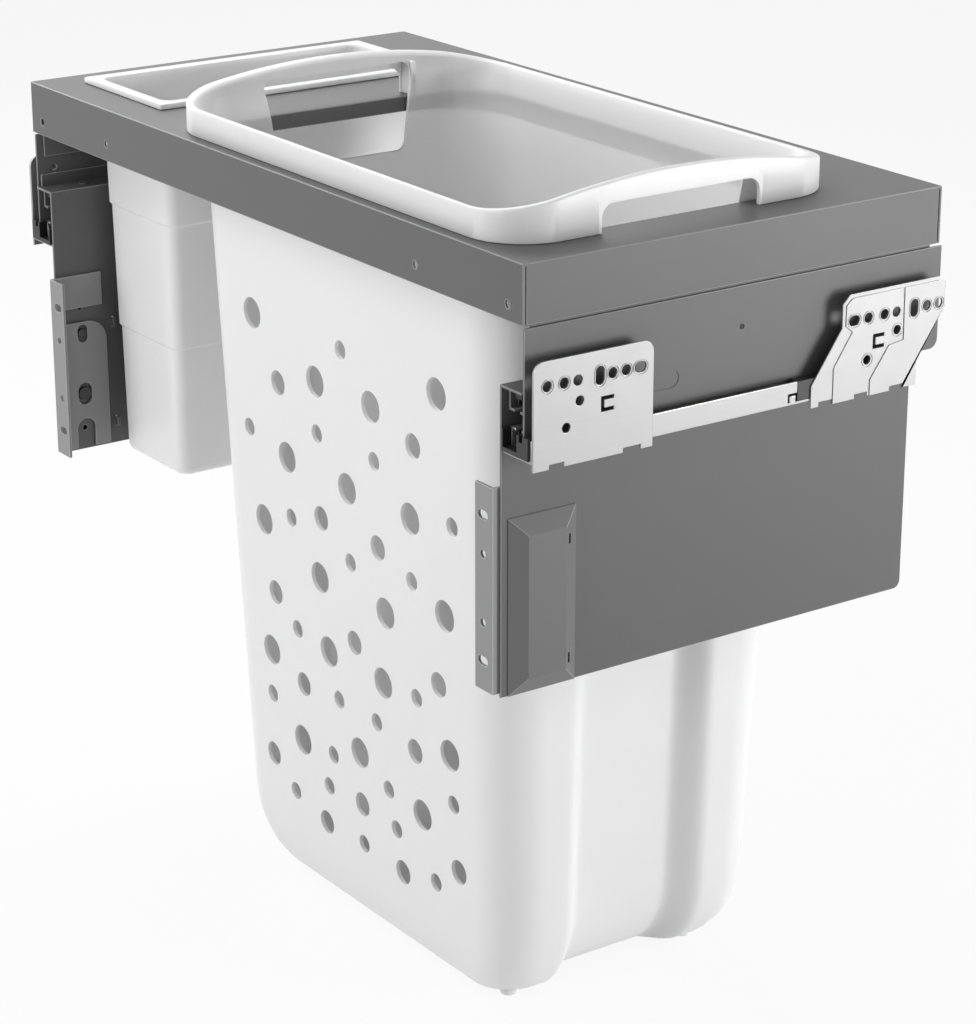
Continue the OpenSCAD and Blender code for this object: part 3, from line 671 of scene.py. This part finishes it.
def mark_edges(obj: bpy.types.Object) -> None:
    """Shades a cut tub smooth but for its corner edges.

    Args:
        obj: the tub.
    """
    bm = bmesh.new()
    bm.from_mesh(obj.data)
    soften(bm, TUB_SHARP)
    bm.to_mesh(obj.data)
    bm.free()


@dataclass
class LaundryBasket:
    """The large perforated tub with a handle cut through each end of its arched rim."""

    # Its middle, the half sizes of its walls at the frame's top and of its rim, its corners' radius and
    # the walls' taper.
    centre: tuple[float, float] = (70.0, 124.25)
    body: tuple[float, float] = (166.0, 110.95)
    rim: tuple[float, float] = (180.0, 116.75)
    corner: float = 33.0
    draft: float = 0.037
    bottom: float = -480.0
    wall: float = 2.6
    # Width and height of the rounding between floor and end walls, and floor and long walls.
    end_round: tuple[float, float] = (40.0, 55.0)
    wall_round: tuple[float, float] = (20.0, 45.0)
    round_steps: int = 12
    # Heights up to which the walls are divided, each with its number of rings.
    bands: tuple[tuple[float, int], ...] = ((-110.0, 20), (-44.0, 18), (0.0, 4))
    # The rim's arch, its rounded edge and how far its inner side falls.
    peak: float = 30.5
    arch_radius: float = 500.0
    edge_round: float = 1.3
    rim_fall: float = 24.0
    # The panel pressed into each end wall, which fades out between two depths below the top.
    recess_depth: float = 15.0
    recess_half: float = 51.0
    recess_flank: float = 19.0
    recess_fade: tuple[float, float] = (56.0, 88.0)
    # The tunnel under each handle, from outside the wall to outside the rim.
    handle_half: float = 54.6
    tunnel_reach: tuple[float, float] = (1.6, 3.0)
    tunnel_low: float = -20.0
    tunnel_corner: float = 8.0
    grip_z: float = 16.5
    # The window through each end wall, from inside the wall to the hollow behind the handle: its top,
    # its half width at the bottom, and its bottom.
    window_reach: tuple[float, float] = (-22.0, 5.5)
    window_top: float = 22.0
    window_low: float = 47.0
    window_z: float = -33.5
    window_corner: float = 6.0
    # The cheeks that close a handle's hollow at its sides.
    cheek_reach: tuple[float, float] = (-1.0, -1.2)
    cheek_z: tuple[float, float] = (0.3, 22.0)
    cheek_gap: float = 0.1
    cheek_corner: float = 0.4
    # The feet: where they stand, both radii, their height, and how far they hang down.
    foot_at: tuple[float, float] = (112.0, 66.0)
    foot_radii: tuple[float, float] = (4.6, 6.0)
    foot_height: float = 3.2
    foot_drop: float = 0.4
    # Hole widths, each with its places: how far out from the middle, and how deep below the top.
    punch_sides: int = 28
    punch_length: float = 260.0
    holes: dict[float, list[tuple[int, int]]] = field(default_factory=lambda: {
        19.5: [(0, 186), (0, 358), (30, 127), (30, 301), (36, 254), (67, 185), (67, 374), (99, 101),
               (99, 235), (99, 323)],
        15.5: [(0, 285), (0, 393), (31, 214), (43, 422), (62, 334), (73, 139), (90, 281), (104, 397)],
        11.5: [(0, 100), (0, 233), (0, 420), (21, 330), (31, 160), (31, 371), (38, 395), (66, 224),
               (66, 298), (79, 414), (101, 354), (110, 177)]})

    def _wall(self, z: float, inset: float) -> tuple[float, float]:
        """Half sizes of the body at a height, drawn in by an inset."""
        fall = self.draft * min(z, 0.0)
        return self.body[0] + fall - inset, self.body[1] + fall - inset

    def _rounding(self, height: float, size: tuple[float, float], thinner: float) -> float:
        """How far the rounded foot of a wall is drawn in.

        Args:
            height: height over the floor.
            size: the rounding's width and height on the outer skin.
            thinner: how much smaller the rounding is on this skin.

        Returns:
            The distance from the straight wall.
        """
        wide, high = size[0] - thinner, size[1] - thinner
        rest = max(1.0 - height / high, 0.0)
        return wide * (1.0 - math.sqrt(1.0 - rest * rest))

    def _skin(self, inset: float) -> list[Level]:
        """Levels of one skin, from its floor up to the frame's top.

        Args:
            inset: how far it lies inside the outer skin.

        Returns:
            The levels, bottom first.
        """
        floor = self.bottom + inset
        high = self.end_round[1] - inset
        levels = []
        for turn in quarter_turn(self.round_steps):
            height = high * (1 - math.cos(turn))
            half_x, half_y = self._wall(floor + height, inset)
            levels.append(Level(half_x - self._rounding(height, self.end_round, inset),
                                half_y - self._rounding(height, self.wall_round, inset), floor + height))
        low = floor + high
        for top, count in self.bands:
            for step in range(1, count + 1):
                z = low + (top - low) * step / count
                levels.append(Level(*self._wall(z, inset), z))
            low = top
        return levels

    def _rim(self) -> list[Level]:
        """Levels of the turned-over rim: under it, round its skirt, over its edge and down inside.

        Returns:
            The levels, from the outer skin round to the inner one.
        """
        rx, ry = self.rim
        bx, by = self.body
        t, r = self.wall, self.edge_round
        under = [Level(bx + 1.0, by + 1.6, -14.0, 1.0), Level(bx + 3.0, by + 2.6, -t - 4.0, 1.0),
                 Level(bx + 5.5, by + 2.9, -t - 0.4, 1.0), Level(rx - t - 3.0, ry - t - 0.3, -t, 1.0),
                 Level(rx - t - 0.5, ry - t - 0.1, -t - 1.0, 1.0), Level(rx - t, ry - t, -t - 3.0, 1.0)]
        skirt = [Level(rx - t, ry - t, 0.5), Level(rx - t + 0.3, ry - t + 0.3, 0.25),
                 Level(rx - 0.3, ry - 0.3, 0.25), Level(rx, ry, 0.6)]
        outer = [Level(rx - r * (1 - math.cos(turn)), ry - r * (1 - math.cos(turn)),
                       -r * (1 - math.sin(turn)), 1.0) for turn in quarter_turn(4)]
        inside = []
        for turn in quarter_turn(10)[1:]:
            share = math.sin(turn)
            inside.append(Level(rx - r - (rx - r - bx + t) * share, ry - r - (ry - r - by + t) * share,
                                -self.rim_fall * (1 - math.cos(turn)), 1.0 - 0.45 * share ** 8))
        return under + skirt + outer + inside

    def _shape(self, rings: list[list[bmesh.types.BMVert]], levels: list[Level]) -> None:
        """Arches the rim and presses in the two end panels.

        Args:
            rings: the loft's rings.
            levels: the level of each.
        """
        for verts, level in zip(rings, levels):
            for v in verts:
                crown = self.peak - self.arch_radius + math.sqrt(self.arch_radius ** 2 - v.co.y ** 2)
                v.co.z += crown * level.arch
                grow = smooth(-v.co.z, *self.recess_fade)
                across = 1 - smooth(abs(v.co.y), self.recess_half - self.recess_flank, self.recess_half)
                v.co.x -= math.copysign(self.recess_depth * grow * across, v.co.x)

    def _slab(self, bm: bmesh.types.BMesh, low: tuple[float, float, float],
              high: tuple[float, float, float], radius: float) -> None:
        """Adds a block with round edges along X.

        Args:
            bm: the mesh.
            low: its lowest corner.
            high: its highest corner.
            radius: rounding of its long edges.
        """
        made = bmesh.ops.create_cube(bm, size=1.0)["verts"]
        size = [b - a for a, b in zip(low, high)]
        middle = [(a + b) / 2 for a, b in zip(low, high)]
        bmesh.ops.scale(bm, vec=size, verts=made)
        edges = [e for e in edges_at(made) if abs(e.verts[0].co.x - e.verts[1].co.x) > 1.0]
        bmesh.ops.translate(bm, vec=middle, verts=made)
        bmesh.ops.bevel(bm, geom=edges, offset=radius, offset_type="OFFSET", segments=6, profile=0.5,
                        affect="EDGES", material=-1)

    def _tunnels(self) -> bmesh.types.BMesh:
        """The opening through the skirt under each handle.

        Returns:
            The cutters.
        """
        bm = bmesh.new()
        for side in (-1, 1):
            ends = sorted((side * (self.body[0] + self.tunnel_reach[0]),
                           side * (self.rim[0] + self.tunnel_reach[1])))
            self._slab(bm, (ends[0], -self.handle_half, self.tunnel_low),
                       (ends[1], self.handle_half, self.grip_z), self.tunnel_corner)
        return bm

    def _windows(self) -> bmesh.types.BMesh:
        """The opening through each end wall, which narrows downwards.

        Returns:
            The cutters.
        """
        bm = bmesh.new()
        for side in (-1, 1):
            ends = sorted(side * (self.body[0] + reach) for reach in self.window_reach)
            before = set(bm.verts)
            self._slab(bm, (ends[0], -self.handle_half, self.window_z),
                       (ends[1], self.handle_half, self.window_top), self.window_corner)
            for v in [v for v in bm.verts if v not in before]:
                down = (self.window_top - v.co.z) / (self.window_top - self.window_z)
                v.co.y *= 1 - down * (1 - self.window_low / self.handle_half)
        return bm

    def _cheeks(self, bm: bmesh.types.BMesh) -> None:
        """Closes the sides of each handle's hollow, between the skirt and the end wall.

        Args:
            bm: the basket's mesh.
        """
        low, high = self.cheek_z
        for side in (-1, 1):
            for end in (-1, 1):
                ends = sorted((side * (self.body[0] + self.cheek_reach[0]),
                               side * (self.rim[0] + self.cheek_reach[1])))
                y = end * (self.handle_half + self.wall / 2 + self.cheek_gap)
                self._slab(bm, (ends[0], y - self.wall / 2, low), (ends[1], y + self.wall / 2, high),
                           self.cheek_corner)

    def _punches(self) -> bmesh.types.BMesh:
        """Round cutters for the holes in the long walls.

        Returns:
            The cutters.
        """
        bm = bmesh.new()
        turn = Matrix.Rotation(math.pi / 2, 4, "X")
        for width, places in self.holes.items():
            for x, depth in places:
                for side in ((1,) if x == 0 else (-1, 1)):
                    bmesh.ops.create_cone(bm, cap_ends=True, cap_tris=False, segments=self.punch_sides,
                                          radius1=width / 2, radius2=width / 2, depth=self.punch_length,
                                          matrix=Matrix.Translation((side * x, 0.0, -depth)) @ turn)
        return bm

    def _feet(self, bm: bmesh.types.BMesh) -> None:
        """Sets a small foot under each corner, its top sunk into the rounded floor.

        Args:
            bm: the basket's mesh.
        """
        flat = self._wall(self.bottom, 0.0)[0] - self.end_round[0]
        for sx in (-1, 1):
            for sy in (-1, 1):
                place = (sx * self.foot_at[0], sy * self.foot_at[1], self.bottom - self.foot_drop)
                made = bmesh.ops.create_cone(bm, cap_ends=True, segments=32, depth=self.foot_height,
                                             radius1=self.foot_radii[0], radius2=self.foot_radii[1],
                                             matrix=Matrix.Translation(place))["verts"]
                for v in made:
                    if v.co.z > self.bottom:
                        share = max(abs(v.co.x) - flat, 0.0) / self.end_round[0]
                        v.co.z += self.end_round[1] * (1.0 - math.sqrt(1.0 - share * share))

    def build(self, shop: Workshop) -> bpy.types.Object:
        """Lofts both skins and the rim in one go, then cuts the handles and the holes.

        Args:
            shop: where it is finished.

        Returns:
            The basket.
        """
        outer = self._skin(0.0)
        inner = self._skin(self.wall)
        levels = outer + self._rim() + inner[::-1]
        bm = bmesh.new()
        ring = rounded_ring(bm, *self.body, self.corner, pitch=3.4, corner_steps=10)
        rings = loft(bm, ring, self.body, levels)
        self._shape(rings, levels)
        self._feet(bm)
        bmesh.ops.recalc_face_normals(bm, faces=bm.faces)
        self._cheeks(bm)
        move = Matrix.Translation((*self.centre, 0.0))
        bmesh.ops.transform(bm, matrix=move, verts=bm.verts)
        obj = shop.piece("laundry_basket_tub", bm, "laundry_basket")
        for cutter in (self._tunnels(), self._windows(), self._punches()):
            bmesh.ops.transform(cutter, matrix=ROW @ move, verts=cutter.verts)
            cut_out(obj, cutter)
        mark_edges(obj)
        log.info("cut %s: %d faces", obj.name, len(obj.data.polygons))
        return obj


@dataclass
class SmallBin:
    """The narrow stacking bin with two steps in its walls."""

    # As for the basket. Each step draws the walls in by its width over its height.
    centre: tuple[float, float] = (-200.75, 132.75)
    body: tuple[float, float] = (43.95, 99.45)
    rim: tuple[float, float] = (50.75, 106.25)
    corner: float = 8.0
    draft: float = 0.015
    step: float = 1.2
    step_height: float = 1.6
    steps_at: tuple[float, float] = (-78.0, -161.0)
    bottom: float = -250.0
    floor_round: float = 6.0
    wall: float = 1.8
    rim_top: float = 3.7
    rim_corner: float = 2.0

    def _tighten(self, verts: list[bmesh.types.BMVert], level: Level) -> None:
        """Draws a ring's corners out to the rim's small corner radius.

        Args:
            verts: the ring.
            level: its half sizes.
        """
        radius_x = self.corner * level.half_x / self.body[0]
        radius_y = self.corner * level.half_y / self.body[1]
        for v in verts:
            u = abs(v.co.x) - (level.half_x - radius_x)
            w = abs(v.co.y) - (level.half_y - radius_y)
            if u > 0 and w > 0:
                v.co.x = math.copysign(level.half_x - self.rim_corner * (1 - u / radius_x), v.co.x)
                v.co.y = math.copysign(level.half_y - self.rim_corner * (1 - w / radius_y), v.co.y)

    def _half(self, z: float, tier: int, inset: float) -> tuple[float, float]:
        """Half sizes at a height on a tier, drawn in by an inset."""
        drawn = self.draft * -z + self.step * tier + inset
        return self.body[0] - drawn, self.body[1] - drawn

    def _skin(self, inset: float, floor: float) -> list[Level]:
        """Levels of one skin, from its floor up to the rim.

        Args:
            inset: how far it lies inside the outer skin.
            floor: height of its floor.

        Returns:
            The levels, bottom first.
        """
        radius = self.floor_round - inset
        levels = []
        for turn in quarter_turn(4):
            z = floor + radius * (1 - math.cos(turn))
            levels.append(Level(*self._half(z, 2, inset + radius * (1 - math.sin(turn))), z))
        upper, lower = self.steps_at
        for tier, z in ((2, lower - self.step_height), (1, lower), (1, upper - self.step_height),
                        (0, upper), (0, -0.2)):
            levels.append(Level(*self._half(z, tier, inset), z))
        return levels

    def build(self, shop: Workshop) -> bpy.types.Object:
        """Lofts both skins with the flat rim between them.

        Args:
            shop: where it is finished.

        Returns:
            The bin.
        """
        rx, ry = self.rim
        bx, by = self.body
        top, w = self.rim_top, self.wall
        outside = self._skin(0.0, self.bottom)
        lip = [Level(rx - 0.3, ry - 0.3, 0.22), Level(rx, ry, 0.5), Level(rx, ry, top - 0.7),
               Level(rx - 0.2, ry - 0.2, top - 0.2), Level(rx - 0.7, ry - 0.7, top)]
        mouth = [Level(bx - w + 1.6, by - w + 1.6, top), Level(bx - w + 0.5, by - w + 0.5, top - 0.4),
                 Level(bx - w, by - w, top - 1.6)]
        levels = outside + lip + mouth + self._skin(w, self.bottom + w)[::-1]
        bm = bmesh.new()
        ring = rounded_ring(bm, *self.body, self.corner, pitch=12.0, corner_steps=6)
        rings = loft(bm, ring, self.body, levels)
        for verts, level in zip(rings[len(outside):], lip):
            self._tighten(verts, level)
        bmesh.ops.recalc_face_normals(bm, faces=bm.faces)
        bmesh.ops.transform(bm, matrix=Matrix.Translation((*self.centre, 0.0)), verts=bm.verts)
        return shop.piece("small_bin_tub", bm, "small_bin")


@dataclass
class Studio:
    """Camera at the photograph's angle, soft lamps and a pale floor."""

    # The camera's place, angles in degrees, lens and sensor in millimetres, and how far it sees.
    place: tuple[float, float, float] = (1.24772, -0.95097, 0.49013)
    azimuth: float = 54.897
    elevation: float = 19.886
    lens: float = 109.217
    sensor: float = 36.0
    sight: float = 20.0
    floor_z: float = -0.4175
    floor_half: float = 6.0
    floor_tone: float = 0.86
    floor_glow: float = 0.9
    ambient: float = 0.22
    aim: tuple[float, float, float] = (-0.284, 0.1, -0.1)
    # Name, place, side and watts of each lamp.
    lamps: tuple[tuple[str, tuple[float, float, float], float, float], ...] = (
        ("side", (1.3, 1.15, -0.05), 0.7, 18.8),
        ("behind", (0.6, 2.0, 0.6), 1.0, 8.0),
        ("left", (-2.5, -0.2, 0.5), 1.2, 14.0),
        ("top", (-1.1, 0.3, 0.9), 0.7, 7.6),
        ("front_low", (-1.3, -2.3, 0.3), 1.2, 10.5),
        ("front", (0.2, -2.6, 1.0), 1.2, 20.5),
        ("front_high", (-0.9, -1.2, 1.6), 1.0, 9.5))

    def camera(self) -> None:
        """Sets the camera that the photograph was taken with."""
        a, e = math.radians(self.azimuth), math.radians(self.elevation)
        back = Vector((math.sin(a) * math.cos(e), -math.cos(a) * math.cos(e), math.sin(e)))
        right = Vector((math.cos(a), math.sin(a), 0.0))
        up = back.cross(right)
        data = bpy.data.cameras.new("view")
        data.lens = self.lens
        data.sensor_width = self.sensor
        data.clip_end = self.sight
        obj = bpy.data.objects.new("view", data)
        turn = Matrix((right, up, back)).transposed().to_4x4()
        obj.matrix_world = Matrix.Translation(self.place) @ turn
        bpy.context.scene.collection.objects.link(obj)
        bpy.context.scene.camera = obj

    def lamp(self, name: str, place: tuple[float, float, float], size: float, power: float) -> None:
        """Hangs a square soft lamp that faces the object.

        Args:
            name: its name.
            place: where it hangs.
            size: its side.
            power: its power in watts.
        """
        data = bpy.data.lights.new(name, "AREA")
        data.shape = "SQUARE"
        data.size = size
        data.energy = power
        obj = bpy.data.objects.new(name, data)
        turn = (Vector(self.aim) - Vector(place)).to_track_quat("-Z", "Y").to_matrix().to_4x4()
        obj.matrix_world = Matrix.Translation(place) @ turn
        bpy.context.scene.collection.objects.link(obj)

    def _seen(self, sheet: Sheet) -> Socket:
        """1 for what the camera, gloss and glass see, 0 for light.

        Args:
            sheet: the sheet it is added to.

        Returns:
            The switch value.
        """
        seen = sheet.node("ShaderNodeLightPath", output="Is Camera Ray")
        for ray in ("Is Glossy Ray", "Is Transmission Ray"):
            other = sheet.node("ShaderNodeLightPath", output=ray)
            seen = sheet.node("ShaderNodeMath", {"operation": "MAXIMUM"}, {0: seen, 1: other})
        return seen

    def floor(self) -> None:
        """Lays the pale floor, which keeps a soft shadow."""
        bm = bmesh.new()
        bmesh.ops.create_grid(bm, x_segments=1, y_segments=1, size=self.floor_half)
        bmesh.ops.translate(bm, vec=(0.0, 0.0, self.floor_z), verts=bm.verts)
        mesh = bpy.data.meshes.new("floor")
        bm.to_mesh(mesh)
        bm.free()
        obj = bpy.data.objects.new("floor", mesh)
        bpy.context.scene.collection.objects.link(obj)
        sheet = Sheet.new("pale_floor")
        lit = sheet.node("ShaderNodeBsdfDiffuse", None, {"Color": (*[self.floor_tone] * 3, 1.0)})
        glow = sheet.node("ShaderNodeEmission", None, {"Color": WHITE, "Strength": 1.0})
        share = self._seen(sheet) * self.floor_glow
        mesh.materials.append(sheet.finish(
            sheet.node("ShaderNodeMixShader", None, {0: share, 1: lit, 2: glow})))

    def world(self) -> None:
        """Surrounds the scene with white, of which only a part lights the object."""
        sheet = Sheet(bpy.data.worlds.new("studio"))
        dim = sheet.node("ShaderNodeBackground", None, {"Color": WHITE, "Strength": self.ambient})
        white = sheet.node("ShaderNodeBackground", None, {"Color": WHITE, "Strength": 1.0})
        bpy.context.scene.world = sheet.finish(
            sheet.node("ShaderNodeMixShader", None, {0: self._seen(sheet), 1: dim, 2: white}),
            "ShaderNodeOutputWorld")

    def build(self) -> None:
        """Sets up the whole studio."""
        self.camera()
        self.world()
        self.floor()
        for lamp in self.lamps:
            self.lamp(*lamp)
        bpy.context.scene.view_settings.view_transform = "Standard"


# Height of the plates' hole row, how far the rear row stands behind the front one, and the ringed holes:
# place along the plate, height, and how far the hole is drawn out along the row and upwards, each way.
ROW_Z = -65.5
REAR = 224.0
FRONT_HOLES = ((9.5, ROW_Z, 0.0, 0.0), (20.5, ROW_Z, 0.0, 0.0), (44.0, ROW_Z, 0.0, 2.2),
               (52.5, ROW_Z, 0.0, 0.0), (61.5, ROW_Z, 0.0, 0.0), (71.0, ROW_Z, 1.0, 0.0))
REAR_HOLES = ((REAR - 2.0, ROW_Z, 1.0, 0.0), (REAR + 8.5, ROW_Z, 0.0, 0.0),
              (REAR + 20.5, ROW_Z, 0.0, 0.0), (REAR + 30.5, -76.2, 0.0, 0.0),
              (REAR + 8.5, -90.2, 0.0, 0.0), (REAR + 43.0, ROW_Z, 0.0, 2.2),
              (REAR + 52.5, ROW_Z, 0.0, 0.0), (REAR + 61.5, ROW_Z, 0.0, 0.0))


def folded_pieces() -> list[FoldedSheet]:
    """Lists every piece that keeps its solid's shape and gets rounded edges.

    Returns:
        The pieces, in the order they are made.
    """
    pieces = [FoldedSheet("top_frame", 0.6), FoldedSheet("adjuster_screws", 0.3)]
    for side, sign in (("left", -1), ("right", 1)):
        pieces += [FoldedSheet(f"{stem}_{side}", edge) for stem, edge in (
            ("side_sheet", 0.5), ("lower_panel", 0.5), ("drawer_rail", 0.4), ("cabinet_rail", 0.4),
            ("middle_rail", 0.4), ("door_bracket", 0.4), ("bracket_cover", 0.35),
            ("support_angle", 0.4), ("rail_cap", 0.3), ("rail_buffer", 0.4))]
        pieces += [MountingPlate(f"front_plate_{side}", 0.35, side=sign, holes=FRONT_HOLES),
                   MountingPlate(f"rear_plate_{side}", 0.25, side=sign, holes=REAR_HOLES)]
    return pieces


def main() -> None:
    """Builds every piece in order."""
    logging.basicConfig(level=logging.INFO)
    Studio().build()
    shop = Workshop()
    LaundryBasket().build(shop)
    SmallBin().build(shop)
    folded = folded_pieces()
    for piece in folded:
        piece.build(shop)
    dressed = {piece.node for piece in folded} | {"laundry_basket", "small_bin"}
    for node in frame["nodes"]:
        if node not in dressed:
            shop.dress(node)


if __name__ == "__main__":
    main()
